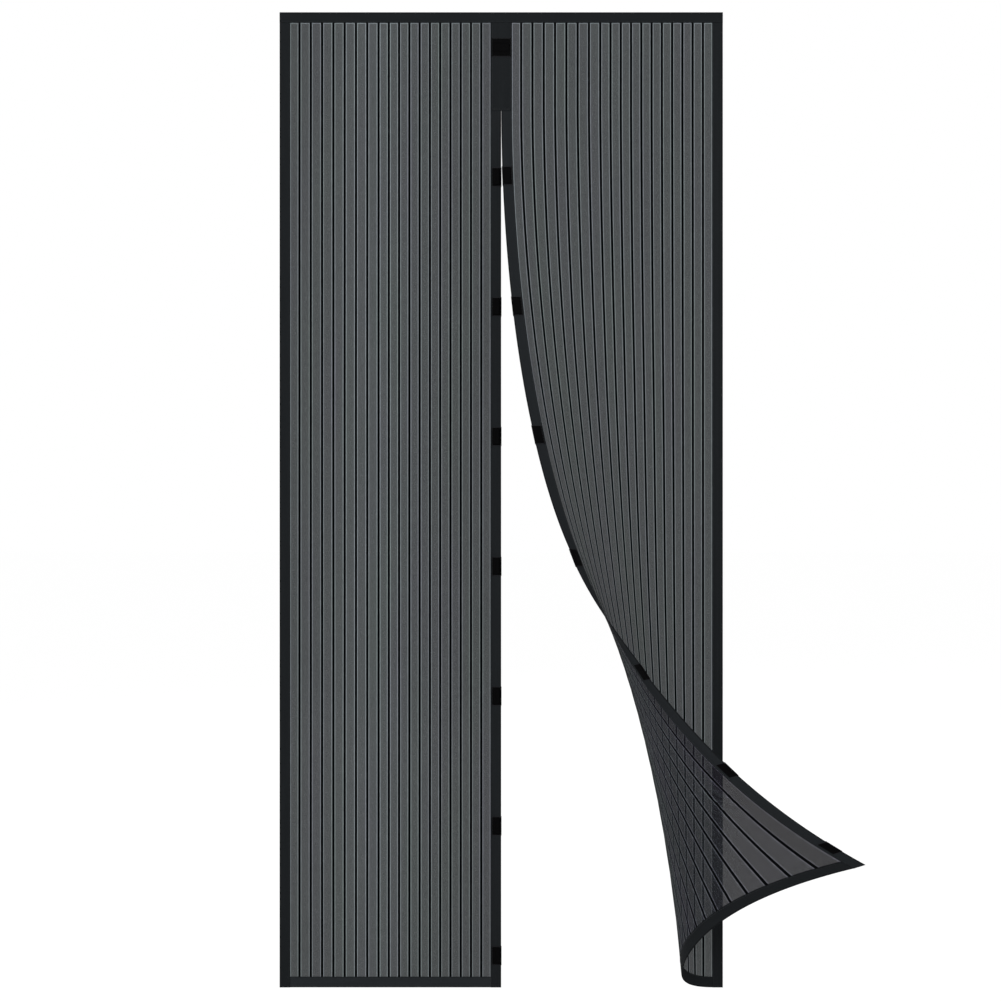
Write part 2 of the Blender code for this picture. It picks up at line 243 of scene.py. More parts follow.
def tint(tree, shader, colour, shade):
    """The surface's colour times a shade that the nodes work out."""
    shaded = node(tree, "VectorMath", colour, None, None, shade, operation="SCALE")
    tree.links.new(shaded, shader.inputs["Base Color"])


def roughen(tree, shader, noise, low, high):
    """Roughness that goes from low to high as the noise goes from 0 to 1."""
    tree.links.new(add_times(tree, noise, high - low, low), shader.inputs["Roughness"])


def emboss(tree, shader, height, depth):
    """Bump from a height of 0 to 1 that stands for a depth in metres."""
    bump = tree.nodes.new("ShaderNodeBump")
    bump.inputs["Strength"].default_value = 1.0
    bump.inputs["Distance"].default_value = depth
    tree.links.new(height, bump.inputs["Height"])
    tree.links.new(bump.outputs[0], shader.inputs["Normal"])


# The net: holes in staggered rows, a painted highlight along each strip's borders and just below the top
# tape, and faint slubs.
# HUE_SHIFT is added on the turned face, which looks a little redder, and in long faint bands of the yarn
NET_COLOUR = (0.0350, 0.0400, 0.0446)
HUE_SHIFT = (0.0015, -0.0035, 0.0030)
HOLE_ACROSS = 0.00075
HOLE_DOWN = 0.00065
HOLE_RIM = 0.30
HOLE_CLEAR = 0.88
STRIP_EDGE = (-0.0004, 0.0001)
LINE_RISE = 0.0005
LINE_FALL = (PAINTED_LINE_WIDTH * 1.25, PAINTED_LINE_WIDTH * 0.7)
TOP_LINE = (TAPE_WIDTH + 0.0022, TAPE_WIDTH + 0.0012)
LINE_PALER = 3.8
UNDER_RIB_SHADE = 0.06
TURNED_TONES = (0.85, 0.60)
LONG_SLUBS = (1.0, 0.22, 1.0)
LONG_CLOUDS = (1.0, 0.6, 1.0)
LONG_BANDS = (1.0, 0.10, 1.0)
net, tree, shader, place, (u, v, rim) = fibre("net", 0.85, 0.04)
loops = times(tree, wave(tree, "COSINE", u, 2 * HOLE_ACROSS), wave(tree, "COSINE", v, 2 * HOLE_DOWN))
slub = grain(tree, place, 260.0, 3.0, LONG_SLUBS)
cloud = grain(tree, place, 14.0, 2.0, LONG_CLOUDS)
band = grain(tree, place, 18.0, 1.0, LONG_BANDS)
weft = grain(tree, place, 380.0, 2.0)
clear = times(tree, ramp(tree, loops, 0.0, HOLE_RIM), vary(tree, slub, 0.20, HOLE_CLEAR))
clear = times(tree, clear, ramp(tree, rim, *STRIP_EDGE))
tree.links.new(calc(tree, "SUBTRACT", 1.0, clear), shader.inputs["Alpha"])
# The points' tone holds the left panel's paler middle and the painted shade of the right panel's turned
# cloth and small folds
tone = carried(tree, "tone", "Fac")
turned = ramp(tree, tone, *TURNED_TONES)
# Painted highlight: the net is painted paler in a line beside each rib and just below the top tape
beside_rib = times(tree, ramp(tree, rim, 0.0, LINE_RISE), ramp(tree, rim, *LINE_FALL))
painted_highlight_line = calc(tree, "MAXIMUM", beside_rib, ramp(tree, v, *TOP_LINE))
shade = times(tree, add_times(tree, loops, -0.16), vary(tree, slub, 0.50), vary(tree, cloud, 0.16), tone)
shade = times(tree, shade, add_times(tree, painted_highlight_line, LINE_PALER))
shade = times(tree, shade, ramp(tree, rim, *STRIP_EDGE, UNDER_RIB_SHADE, 1.0))
shade = times(tree, shade, add_times(tree, turned, vary(tree, weft, 3.0, 0.0)))
shifted = calc(tree, "ADD", turned, vary(tree, band, 2.2, -0.2))
colour = node(tree, "VectorMath", shifted, HUE_SHIFT, NET_COLOUR, operation="MULTIPLY_ADD")
tint(tree, shader, colour, shade)
roughen(tree, shader, slub, 0.74, 0.90)
emboss(tree, shader, calc(tree, "SUBTRACT", slub, calc(tree, "MULTIPLY", loops, 0.5)), 0.00016)

# The ribs' knit: a chain of loops down each rib, near black
RIB_COLOUR = (0.0017, 0.0020, 0.0024)
CHAIN_ACROSS = 2600.0
CHAIN_DOWN = 4400.0
rib_knit, tree, shader, place, (_, v, w) = fibre("rib_knit", 0.85, 0.02)
slant = times(tree, v, CHAIN_DOWN)
chain = calc(tree, "SINE", add_times(tree, calc(tree, "ABSOLUTE", w), CHAIN_ACROSS, slant))
fuzz = grain(tree, place, 420.0, 3.0)
tint(tree, shader, RIB_COLOUR, times(tree, add_times(tree, chain, 0.22, 0.85), vary(tree, fuzz, 0.8)))
roughen(tree, shader, fuzz, 0.68, 0.88)
emboss(tree, shader, add_times(tree, chain, 0.5, fuzz), 0.00020)


def as_cut(u, v):
    """Cloth that nothing stretches keeps its places."""
    return u


def hang_net(name, columns, rows, lift, tones, hang, stretched=as_cut):
    """The sheer cloth of a panel, one layer, lifted off its flat lie by its own soft waves."""
    u, v = np.meshgrid(columns[:, 0], rows)
    marks = np.stack([u, v, np.broadcast_to(columns[:, 1], u.shape)], axis=-1)
    u = stretched(u, v)
    points = hang(u, v, lift(u, v)).reshape(-1, 3)
    return link_mesh(name, points, grid_faces(len(rows), len(columns)), marks, tones(u, v), net)


def knit_ribs(name, rib_middles, rows, lift, hang, stretched=as_cut):
    """All the ribs of a panel, each a flat lens in section that the cloth's middle runs through."""
    inner_rows = rows[(rows > TAPE_WIDTH / 3) & (rows < SCREEN_DROP - TAPE_WIDTH / 3)]
    from_tape = np.minimum(inner_rows - TAPE_WIDTH, SCREEN_DROP - TAPE_WIDTH - inner_rows)
    fade = np.clip(from_tape / RIB_END_FADE, 0, 1)
    offsets = np.array([-RIB_WIDTH / 2, 0.0, RIB_WIDTH / 2])
    stand = np.array([RIB_RIM_STAND, RIB_STAND, RIB_RIM_STAND]) * fade[:, None] + RIB_LEAST_STAND
    parts = []
    for middle in rib_middles:
        u, v = np.meshgrid(middle + offsets, inner_rows)
        marks = np.stack([u, v, np.broadcast_to(offsets, u.shape)], axis=-1)
        u = stretched(u, v)
        parts.append((hang(u, v, lift(u, v) - stand), hang(u, v, lift(u, v) + stand), marks))
    return shells(name, parts, rib_knit)


def smooth(share):
    """A smooth step from 0 to 1 as share goes from 0 to 1."""
    share = np.clip(share, 0, 1)
    return share * share * (3 - 2 * share)


def free_of_tape(u, v, within):
    """0 in the tapes and 1 from within metres outside them."""
    room = np.minimum(np.minimum(u, PANEL_WIDTH - u), np.minimum(v, SCREEN_DROP - v)) - TAPE_WIDTH
    return smooth(room / within)


WAVE_HEIGHT = 0.0009
WAVE_FREE = 0.06
GATHER_HEIGHT = 0.00035
GATHER_RISE = 0.006
GATHER_REACH = 0.035


def soft_waves(u, v):
    """The slight waves of hung cloth and the finer gathers along its sewn edges."""
    slow = np.sin(7.3 * v + 9 * u) * np.sin(19 * u + 1.7 * v) * free_of_tape(u, v, WAVE_FREE)
    near_edge = free_of_tape(u, v, GATHER_RISE) * (1 - free_of_tape(u, v, GATHER_REACH))
    gathers = np.sin(410 * v + 6 * np.sin(23 * v)) * near_edge
    return WAVE_HEIGHT * slow + GATHER_HEIGHT * gathers


SIDE_TONE = 0.90
MIDDLE_PALER = 0.36
PALEST_AT = 0.208
PALE_REACH = 0.105


def left_tones(u, v):
    """The left panel is a little paler towards its middle."""
    return SIDE_TONE + MIDDLE_PALER * np.exp(-(((u - PALEST_AT) / PALE_REACH) ** 2))


plain_strips = STRIPS - WIDE_STRIPS - 2
inner_shares = [WIDE_STRIP_SHARE] * WIDE_STRIPS + [1.0] * plain_strips
strip_shares = [EDGE_STRIP_SHARE, *inner_shares, EDGE_STRIP_SHARE]
left_ribs_at = strip_borders(strip_shares)
left_rows = cloth_rows(0.014)
left_columns = cloth_columns(left_ribs_at)
left_net = hang_net("left_mesh_net", left_columns, left_rows, soft_waves, left_tones, hang_left)
left_ribs = knit_ribs("left_mesh_ribs", left_ribs_at, left_rows, soft_waves, hang_left)
for piece in (left_net, left_ribs):
    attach(piece, "root")
    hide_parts("left_mesh_panel")

# Right mesh panel. The same net, cut the same. Below the seam its loose inner corner is drawn forward and
# over to the right, so the cloth turns between its two stiff tapes and its foot climbs to the raised corner.
SEAM_DROP = 0.223
POUCHES = 7
FIRST_POUCH_DROP = 0.372
LAST_POUCH_RISE = 0.0718
POUCH_LENGTH = 0.043
# How the cloth is draped: how far it turns over, how high it is raised, how it sags and how much it gives
TURN_LIMIT = math.radians(155.0)
TURN_UPPER = 0.869
TURN_LOWER = 0.779
TURN_GROWTH = 3.439
TURN_SPREAD = 0.831
LIFT = 0.376
LIFT_GROWTH = 2.863
LIFT_SPREAD = 1.865
LIFT_SWELL = 0.630
SAG = 0.167
SAG_START = 1.205
SAG_END = 1.307
SAG_SPREAD = 1.018
GIVE = 1.973
GIVE_GROWTH = 4.533
GIVE_SPREAD = 2.197
TAPE_LIE = 0.3
LEAST_RUN = 0.4
HEM_EASE_GROWTH = 6
ROW_STEPS = 80
PROBE = 0.001
pouch_drops = np.linspace(FIRST_POUCH_DROP, SCREEN_DROP - LAST_POUCH_RISE, POUCHES)


def share_down(v):
    """How far down the free length a drop lies, from 0 at the seam's end to 1 at the hem."""
    return np.maximum(0.0, (v - SEAM_DROP) / (SCREEN_DROP - SEAM_DROP))


def tightness(down):
    """How strongly the cloth turns there: 0 at the seam, and fast growing towards the hem."""
    return TURN_UPPER * down + TURN_LOWER * down**TURN_GROWTH


def sag_of(down):
    """How far the free edge hangs below its drop when the cloth was flat, in metres."""
    return SAG * down**SAG_START * np.maximum(0.0, 1 - down) ** SAG_END


def lift_of(across, down):
    """How far the cloth is raised at a share across and down, less its sag, in metres."""
    climbed = LIFT * down**LIFT_GROWTH * across**LIFT_SPREAD * (1 + LIFT_SWELL * (1 - across))
    return climbed - sag_of(down) * across**SAG_SPREAD


def held_drop(v):
    """The drop whose direction the meeting tape takes: the same all along a magnet, which cannot twist."""
    ends = np.ravel(pouch_drops[:, None] + np.array([-0.5, 0.5]) * POUCH_LENGTH)
    held_at = [SEAM_DROP, *np.repeat(pouch_drops, 2), SCREEN_DROP]
    return np.interp(v, [SEAM_DROP, *ends, SCREEN_DROP], held_at)


def fold_line(u, v):
    """The middle of the cloth: each row turns forward and climbs between its stiff tapes."""
    down = share_down(v)[:, None]
    reach = np.clip(u - TAPE_WIDTH, 0.0, FREE_WIDTH)[:, None]
    ends = reach / FREE_WIDTH * np.linspace(0.0, 1.0, ROW_STEPS + 1)
    middles = (ends[:, 1:] + ends[:, :-1]) / 2
    turn = TURN_LIMIT * np.tanh(tightness(down) * middles**TURN_SPREAD)
    length = (1 + GIVE * down**GIVE_GROWTH * middles**GIVE_SPREAD) * reach / ROW_STEPS
    run = np.sqrt(np.maximum(length**2 - np.diff(lift_of(ends, down)) ** 2, (LEAST_RUN * length) ** 2))
    x = SCREEN_WIDTH / 2 - np.minimum(u, TAPE_WIDTH) - (run * np.cos(turn)).sum(1)
    y = CLOTH_Y - (run * np.sin(turn)).sum(1)
    z = TOP_Z - v + lift_of(ends[:, -1], down[:, 0])
    beyond = np.maximum(0.0, u - TAPE_WIDTH - FREE_WIDTH)
    held = share_down(held_drop(v))
    cloth_turn = TURN_LIMIT * np.tanh(tightness(held))
    last_turn = np.arctan2(TAPE_LIE * np.sin(cloth_turn), np.cos(cloth_turn))
    last_length = FREE_WIDTH * (1 + GIVE * held**GIVE_GROWTH)
    climb = LIFT * held**LIFT_GROWTH * (LIFT_SPREAD - LIFT_SWELL) - sag_of(held) * SAG_SPREAD
    slope = climb / last_length
    level = np.sqrt(1 - slope**2)
    x -= beyond * level * np.cos(last_turn)
    y -= beyond * level * np.sin(last_turn)
    return np.stack([x, y, z + beyond * slope], axis=-1)


def slopes(u, v, surface):
    """The directions across and down a surface, in metres a metre of the cloth."""
    low = np.maximum(u - PROBE, 0)
    across = (surface(u + PROBE, v) - surface(low, v)) / (u + PROBE - low)[:, None]
    return across, (surface(u, v + PROBE) - surface(u, v - PROBE)) / (2 * PROBE)


def hem_ease(u):
    """How much wider the hem zone is laid out, so that the hem tape keeps its width where it slants."""
    places, order = np.unique(u, return_inverse=True)
    across, down = slopes(places, np.full(len(places), SCREEN_DROP), fold_line)
    length = np.linalg.norm(across, axis=1)
    return (length / np.linalg.norm(np.cross(across, down), axis=1))[order]


def eased(u, v):
    """The middle of the cloth, with its hem zone laid out at the width that the hem tape needs."""
    hem_starts = SCREEN_DROP - TAPE_WIDTH
    ease = hem_ease(u)
    above = v - (ease - 1) * TAPE_WIDTH * (np.maximum(v, 0) / hem_starts) ** HEM_EASE_GROWTH
    return fold_line(u, np.where(v >= hem_starts, SCREEN_DROP - (SCREEN_DROP - v) * ease, above))


def hang_right(u, v, n):
    """Points of the right panel from u in from the right, v down and n off the cloth's middle."""
    shape = np.broadcast_shapes(np.shape(u), np.shape(v), np.shape(n))
    u, v, n = (np.ravel(np.broadcast_to(np.asarray(value, float), shape)) for value in (u, v, n))
    points = np.stack([SCREEN_WIDTH / 2 - u, CLOTH_Y + n, TOP_Z - v], axis=-1)
    low = v > SEAM_DROP - PROBE
    if low.any():
        across, down = slopes(u[low], v[low], eased)
        normal = np.cross(across, down)
        normal /= np.linalg.norm(normal, axis=1)[:, None]
        points[low] = eased(u[low], v[low]) - normal * n[low, None]
    return points.reshape(*shape, 3)


CRINKLES_AT = (0.440, 1.905)
CRINKLES_REACH = (0.022, 0.055)
CRINKLE_HEIGHT = 0.0011
CRINKLE_FREE = 0.01


def crinkles(u, v):
    """The small folds beside the sixth magnet, where the drawn cloth bunches: -1 to 1."""
    across = (u - CRINKLES_AT[0]) / CRINKLES_REACH[0]
    down = (v - CRINKLES_AT[1]) / CRINKLES_REACH[1]
    return np.exp(-(across**2) - down**2) * np.sin(520 * v + 380 * u + 3 * np.sin(90 * v))


def right_waves(u, v):
    """The soft waves of the right panel, with its small folds."""
    return soft_waves(u, v) + CRINKLE_HEIGHT * crinkles(u, v) * free_of_tape(u, v, CRINKLE_FREE)


TURNED_FROM = math.radians(65)
TURNED_RANGE = math.radians(50)
TURNED_PAINTED_SHADE = 0.44
FREE_STRIP_PAINTED_SHADE = 0.5
CRINKLE_PAINTED_SHADE = 0.6


def right_painted_shade(u, v):
    """Painted shade where the cloth is turned over, most so in the free strip, and painted shade and
    highlight along the small folds.
    """
    across = np.clip((u - TAPE_WIDTH) / FREE_WIDTH, 0.0, 1.0)
    turn = TURN_LIMIT * np.tanh(tightness(share_down(v)) * across**TURN_SPREAD)
    in_free_strip = u > right_ribs_at[-1]
    darker = TURNED_PAINTED_SHADE * smooth((turn - TURNED_FROM) / TURNED_RANGE)
    darker *= 1 + FREE_STRIP_PAINTED_SHADE * in_free_strip
    # The small folds are painted darker and paler along their waves, a painted shade and highlight
    return (1.0 - darker) * (1 + CRINKLE_PAINTED_SHADE * crinkles(u, v))


def ribs_kept(u, v):
    """Where the cloth is stretched its ribs and their borders widen less, and the net between them more."""
    halfway = (right_ribs_at[1:] + right_ribs_at[:-1]) / 2
    cells = np.array([TAPE_WIDTH, *halfway, PANEL_WIDTH - TAPE_WIDTH])
    cell = np.clip(np.searchsorted(cells, u) - 1, 0, len(right_ribs_at) - 1)
    middle = right_ribs_at[cell]
    side = np.where(u > middle, 1.0, -1.0)
    reach = np.where(u > middle, cells[cell + 1] - middle, middle - cells[cell])
    across = (middle - TAPE_WIDTH) / FREE_WIDTH
    give = np.sqrt(1 + GIVE * share_down(v) ** GIVE_GROWTH * across**GIVE_SPREAD)
    core = RIB_WIDTH / 2 + PAINTED_LINE_WIDTH
    out = np.abs(u - middle)
    drawn = reach - (reach - out) * (reach - core / give) / (reach - core)
    kept = middle + side * np.where(out <= core, out / give, drawn)
    return np.where((u > cells[0]) & (u < cells[-1]), kept, u)


right_ribs_at = strip_borders(strip_shares[::-1])
right_rows = cloth_rows(0.008)
right_columns = cloth_columns(right_ribs_at)
right_way = hang_right, ribs_kept
right_net = hang_net("right_mesh_net", right_columns, right_rows, right_waves, right_painted_shade, *right_way)
right_ribs = knit_ribs("right_mesh_ribs", right_ribs_at, right_rows, right_waves, *right_way)
for piece in (right_net, right_ribs):
    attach(piece, "root")
    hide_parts("right_mesh_panel")

# Edge tapes. Plain-woven polyester tape, folded lengthwise over each raw edge of the net and sewn through
# with one row of stitches near its inner edge. The top tape is one length over both panels, sewn on last.
TAPE_COLOUR = (0.0091, 0.0104, 0.0116)
PICK_PITCH = 0.0010
END_PITCH = 0.0008
INNER_EDGE_SHADE = (0.0, 0.0032, 0.72, 1.0)
FOLD_SHADE = (0.0202, 0.0230, 1.0, 0.60)
RUBBED_FUZZ = (0.52, 0.75)
RUBBED_EDGE = (0.0016, 0.0004)
ALONG_TAPE = (0.08, 1.0, 1.0)
tape_weave, tree, shader, place, (along, reach, _) = fibre("tape_weave", 0.80, 0.03)
weave = times(tree, wave(tree, "SINE", along, PICK_PITCH), wave(tree, "SINE", reach, END_PITCH))
fuzz = grain(tree, place, 300.0, 3.0)
streak = grain(tree, place, 90.0, 2.0, ALONG_TAPE)
# Painted shade along the tape's inner free edge and towards its rounded fold
painted_edge_shade = times(tree, ramp(tree, reach, *INNER_EDGE_SHADE), ramp(tree, reach, *FOLD_SHADE))
rubbed = times(tree, ramp(tree, fuzz, *RUBBED_FUZZ), ramp(tree, reach, *RUBBED_EDGE))
shade = times(tree, add_times(tree, weave, 0.14, 0.98), vary(tree, fuzz, 0.36), vary(tree, streak, 0.24))
shade = times(tree, add_times(tree, rubbed, 0.6, shade), painted_edge_shade, carried(tree, "tone", "Fac"))
tint(tree, shader, TAPE_COLOUR, shade)
roughen(tree, shader, fuzz, 0.68, 0.88)
emboss(tree, shader, add_times(tree, weave, 0.5, fuzz), 0.00014)

# The sewing thread: two plies twisted together, with a slight gloss
THREAD_COLOUR = (0.016, 0.018, 0.020)
TWIST_ACROSS = 9000.0
TWIST_ALONG = 7000.0
thread, tree, shader, place, (along, reach, _) = fibre("sewing_thread", 0.55, 0.25)
twist = calc(tree, "SINE", add_times(tree, reach, TWIST_ACROSS, times(tree, along, TWIST_ALONG)))
tint(tree, shader, THREAD_COLOUR, add_times(tree, twist, 0.25))
emboss(tree, shader, add_times(tree, twist, 0.5, 0.5), 0.00006)

# The tape's section from its front free edge round the fold to its back one: (reach, n, share of pucker)
FOLD = TAPE_OUTSIDE
tape_face = [(0.0, 0.4), (0.0012, 1.0), (0.0035, 0.5), (0.008, 1.0), (0.014, 1.0), (0.020, 0.6)]
tape_section = [(reach, -TAPE_OUTSIDE, share) for reach, share in tape_face]
for degrees in (-90, -50, 0, 50, 90):
    angle = math.radians(degrees)
    tape_section.append((TAPE_WIDTH - FOLD + FOLD * math.cos(angle), FOLD * math.sin(angle), 0.0))
tape_section += [(reach, TAPE_OUTSIDE, share) for reach, share in reversed(tape_face)]
tape_section = np.array(tape_section)

PUCKER = 0.00008
STITCH = 0.0030
STITCH_STEP = 0.0036
THREAD = 0.00028
TAPE_SEAM = 0.0023
SEAM_END = 0.004
STATION_STEP = 0.006


def pucker(along, side):
    """The small waves that sewing draws into a tape, in metres."""
    ripple = np.sin(along * 330 + 2.2 * np.sin(along * 47) + side) * (0.7 + 0.3 * np.sin(along * 19 + side))
    return PUCKER * (1 + ripple)


def fold_tape(name, stations, put, node_name, tone):
    """A tape folded over an edge. put(reach, station, n) gives the points reach out from its free edges."""
    reach, n, share = tape_section.T
    station, reach_grid = np.meshgrid(stations, reach, indexing="ij")
    outward = np.where(n < 0, -1.0, 1.0) * np.minimum(1, np.abs(n) / TAPE_OUTSIDE)
    outer = put(reach_grid, station, n + outward * share * pucker(station, outward))
    thin = 1 - TAPE_THICK / FOLD
    in_fold = reach > TAPE_WIDTH - FOLD
    inner_reach = np.where(in_fold, TAPE_WIDTH - FOLD + (reach - TAPE_WIDTH + FOLD) * thin, reach)
    inner_n = np.where(in_fold, n * thin, np.sign(n) * TAPE_INSIDE)
    inner_reach, inner_n = (np.broadcast_to(value, station.shape) for value in (inner_reach, inner_n))
    inner = put(inner_reach, station, inner_n)
    marks = np.stack([station, reach_grid, np.broadcast_to(n, station.shape)], axis=-1)
    piece = shells(name, [(outer, inner, marks)], tape_weave, tone)
    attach(piece, "root")
    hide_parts(node_name)


# One stitch: a start, a ring of four points at each shoulder, and an end, as (share along, across, up)
stitch_shape = [(0.0, 0.0, -0.4), (1.0, 0.0, -0.4)]
stitch_ring = [(1.0, -0.2), (0.0, 1.0), (-1.0, -0.2), (0.0, -0.6)]
for shoulder in (0.22, 0.78):
    stitch_shape += [(shoulder, across, up) for across, up in stitch_ring]
stitch_shape = np.array(stitch_shape)
stitch_faces = []
for corner in range(4):
    following = (corner + 1) % 4
    stitch_faces.append([0, 2 + following, 2 + corner])
    stitch_faces.append([2 + corner, 2 + following, 6 + following, 6 + corner])
    stitch_faces.append([1, 6 + corner, 6 + following])


def sew(name, rows):
    """Rows of stitches, each row given as (start, end, put(s, across, up)) along a line on a surface."""
    points, faces, marks = [], [], []
    start = 0
    for low, high, put in rows:
        count = max(1, int((high - low) / STITCH_STEP))
        begins = low + (high - low - count * STITCH_STEP) / 2 + np.arange(count) * STITCH_STEP
        along, across, up = stitch_shape.T
        s = begins[:, None] + along * STITCH
        across, up = np.broadcast_to(across * THREAD, s.shape), np.broadcast_to(up * THREAD, s.shape)
        points.append(put(s, across, up).reshape(-1, 3))
        marks.append(np.stack([s, across, 0 * s], axis=-1).reshape(-1, 3))
        for at in range(start, start + count * len(stitch_shape), len(stitch_shape)):
            faces += [[at + corner for corner in face] for face in stitch_faces]
        start += count * len(stitch_shape)
    points, marks = np.concatenate(points), np.concatenate(marks)
    piece = link_mesh(name, points, faces, marks, np.ones(len(points)), thread)
    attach(piece, "root")


def sew_tape(name, start, end, put):
    """A row of stitches on both faces of a folded tape, near its free edges."""
    rows = []
    for side in (-1, 1):

        def on_face(s, across, up, side=side):
            return put(TAPE_SEAM + across, s, side * (TAPE_OUTSIDE + PUCKER + up))

        rows.append((start, end, on_face))
    sew(name, rows)


tape_top = TAPE_WIDTH + SEWN_GAP
inner_start = PANEL_WIDTH - TAPE_WIDTH
hem_start = SCREEN_DROP - TAPE_WIDTH
side_start = SCREEN_WIDTH - TAPE_WIDTH
long_stations = np.append(np.arange(tape_top, SCREEN_DROP, STATION_STEP), SCREEN_DROP)
hem_stations = np.linspace(TAPE_WIDTH + SEWN_GAP, inner_start - SEWN_GAP, 90)
top_stations = np.linspace(0.0, SCREEN_WIDTH, 170)
tapes = {
    "left_side_binding": (long_stations, lambda reach, v, n: hang_left(TAPE_WIDTH - reach, v, n)),
    "right_side_binding": (long_stations, lambda reach, v, n: hang_left(side_start + reach, v, n)),
    "left_centre_binding": (long_stations, lambda reach, v, n: hang_left(inner_start + reach, v, n)),
    "right_centre_binding": (long_stations, lambda reach, v, n: hang_right(inner_start + reach, v, n)),
    "left_hem_binding": (hem_stations, lambda reach, u, n: hang_left(u, hem_start + reach, n)),
    "right_hem_binding": (hem_stations, lambda reach, u, n: hang_right(u, hem_start + reach, n)),
    "top_binding": (top_stations, lambda reach, u, n: hang_left(u, TAPE_WIDTH - reach, n)),
}
# Painted light: these lengths of the same tape are painted lighter than the rest, the left hem most
painted_lighter = {
    "left_hem_binding": 1.75,
    "left_centre_binding": 1.12,
    "right_side_binding": 1.06,
    "right_centre_binding": 1.27,
}
for node_name, (stations, put) in tapes.items():
    fold_tape(node_name + "_tape", stations, put, node_name, painted_lighter.get(node_name, 1.0))
    sew_tape(node_name + "_stitches", stations[0] + SEAM_END, stations[-1] - SEAM_END, put)

# Centre join strip. A flat piece of the same tape, 47 mm wide, sewn over both meeting edges from the top
# tape down to the head of the slit, so that the two panels make one screen.
JOIN_THICK = 0.0006
JOIN_WIDTH = 0.047
JOIN_SEAM = 0.0205
JOIN_SEAM_END = 0.003
JOIN_SEAM_OVER = 0.0002
JOIN_SWELL = 0.00012
PRESSED_FROM = 0.019
FLAT_REACH = 0.018
join_back = -(TAPE_OUTSIDE + SEWN_GAP)
join_front = join_back - JOIN_THICK
middle = SCREEN_WIDTH / 2
u, v = np.meshgrid(np.linspace(-0.5, 0.5, 25) * JOIN_WIDTH, np.linspace(tape_top, SEAM_DROP, 60))
swell = JOIN_SWELL * (1 + np.sin(v * 260 + 2 * np.sin(v * 41))) * (0.3 + 0.7 * (np.abs(u) > PRESSED_FROM))
marks = np.stack([v, np.minimum(0.5 * JOIN_WIDTH - np.abs(u), FLAT_REACH), u], axis=-1)
outer = hang_left(middle + u, v, join_front - swell)
inner = hang_left(middle + u, v, join_back)
join = shells("centre_join_cover", [(outer, inner, marks)], tape_weave)
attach(join, "root")
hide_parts("centre_join_strip")


def stitch_down(start, end, face, u, v=0.0):
    """A row of stitches down flat-hung cloth from a place u, v on it, at a face's n."""
    return start, end, lambda s, across, up: hang_left(u + across, v + s, face - up)


def stitch_across(start, end, face, u, v):
    """A row of stitches across flat-hung cloth from a place u, v on it, at a face's n."""
    return start, end, lambda s, across, up: hang_left(u + s, v + across, face - up)


sewn_face = join_front - JOIN_SEAM_OVER
sewn_down = tape_top + JOIN_SEAM_END, SEAM_DROP - JOIN_SEAM_END, sewn_face
sewn_drops = SEAM_DROP - JOIN_SEAM_END, SEAM_DROP - 2 * JOIN_SEAM_END
join_rows = [stitch_down(*sewn_down, middle + offset) for offset in (JOIN_SEAM, -JOIN_SEAM)]
join_rows += [stitch_across(-JOIN_SEAM, JOIN_SEAM, sewn_face, middle, drop) for drop in sewn_drops]
sew("centre_join_stitches", join_rows)

# Magnet pouches. Black woven tape, cut in short lengths, wrapped round the meeting edge over a bar magnet
# and sewn across at both ends, so that the magnet's shape stands out between the two seams.
POUCH_COLOUR = (0.0012, 0.0012, 0.0014)
POUCH_WIDTH = 0.0214
POUCH_THICK = 0.0006
POUCH_BACK_LEG = 0.0175
POUCH_SLACK = 0.00015
POUCH_SEAM = 0.0016
POUCH_SEAM_END = 0.001
STITCH_OVER = 0.0001
MAGNET_LENGTH = 0.036
MAGNET_WIDTH = 0.012
MAGNET_THICK = 0.002
MAGNET_SHOULDERS = (0.0028, 0.0025)
MAGNET_END_INSET = 0.001
POUCH_INSIDE = TAPE_OUTSIDE + SEWN_GAP
POUCH_OUTSIDE = POUCH_INSIDE + POUCH_THICK
MAGNET_STAND = MAGNET_THICK + SEWN_GAP
TWILL_PITCH = 0.0009
PALE_END = (POUCH_LENGTH / 2 - 0.0010, POUCH_LENGTH / 2 - 0.0004)
END_PALER = 14.0
pouch_weave, tree, shader, place, (along, reach, _) = fibre("pouch_weave", 0.70, 0.02)
twill = wave(tree, "SINE", calc(tree, "ADD", along, reach), TWILL_PITCH)
fuzz = grain(tree, place, 380.0, 3.0)
# Both ends of each pouch are painted paler over about their last millimetre
pale_end = ramp(tree, calc(tree, "ABSOLUTE", along), *PALE_END)
shade = times(tree, add_times(tree, twill, 0.2, 0.9), vary(tree, fuzz, 0.7))
tint(tree, shader, POUCH_COLOUR, add_times(tree, pale_end, END_PALER, shade))
roughen(tree, shader, fuzz, 0.50, 0.75)
emboss(tree, shader, add_times(tree, twill, 0.4, fuzz), 0.00012)


def hump(distance, half, shoulder):
    """1 over a magnet's half width, falling smoothly to 0 over a shoulder."""
    return smooth((half + shoulder - np.abs(distance)) / shoulder)


def along_magnet(hang, drop):
    """Places on the meeting edge round a magnet, straight between the pouch's ends as the magnet is."""
    upper, lower = drop - POUCH_LENGTH / 2, drop + POUCH_LENGTH / 2

    def put(reach, offset, n):
        share = (np.asarray(offset) / POUCH_LENGTH + 0.5)[..., None]
        u = inner_start + reach
        return hang(u, upper, n) * (1 - share) + hang(u, lower, n) * share

    return put


